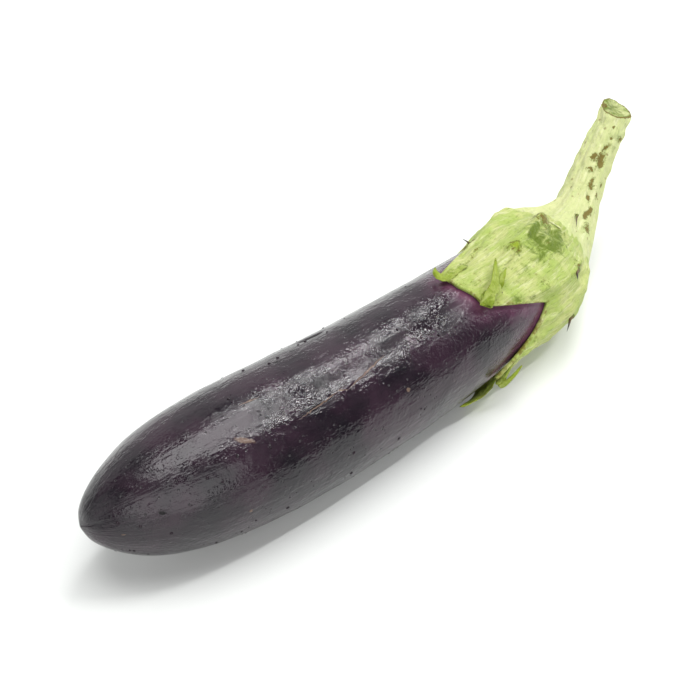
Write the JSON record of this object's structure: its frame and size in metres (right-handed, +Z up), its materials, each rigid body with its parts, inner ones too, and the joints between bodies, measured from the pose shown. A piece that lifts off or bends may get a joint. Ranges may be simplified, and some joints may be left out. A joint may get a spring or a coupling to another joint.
{
  "type": "eggplant",
  "caption": "Slim glossy dark purple eggplant lying on its side, slightly bent, with a pale green lobed calyx and a cut stem that rises from its end.",
  "frame": {"origin": "bottom centre of the whole eggplant's box, on the surface it lies on", "axes": "+X from the blossom end to the stem, +Z up, +Y towards the side that the stem leans to"},
  "size_m": [0.3094, 0.0764, 0.0596],
  "materials": {
    "skin": "waxy, glossy, wet with fine drops, near black purple turning violet by the calyx",
    "calyx": "matt, fleshy, pale green with fine fibres and darker green patches",
    "stem": "satin, ribbed along its length, yellow-green with brown corky specks",
    "prickle": "dry, horny, dark brown"
  },
  "bodies": {
    "root": {"fruit": "skin", "calyx": "calyx", "stem": "stem", "prickle_1": "prickle", "prickle_2": "prickle", "prickle_3": "prickle", "prickle_4": "prickle", "prickle_5": "prickle"}
  },
  "joints": []
}
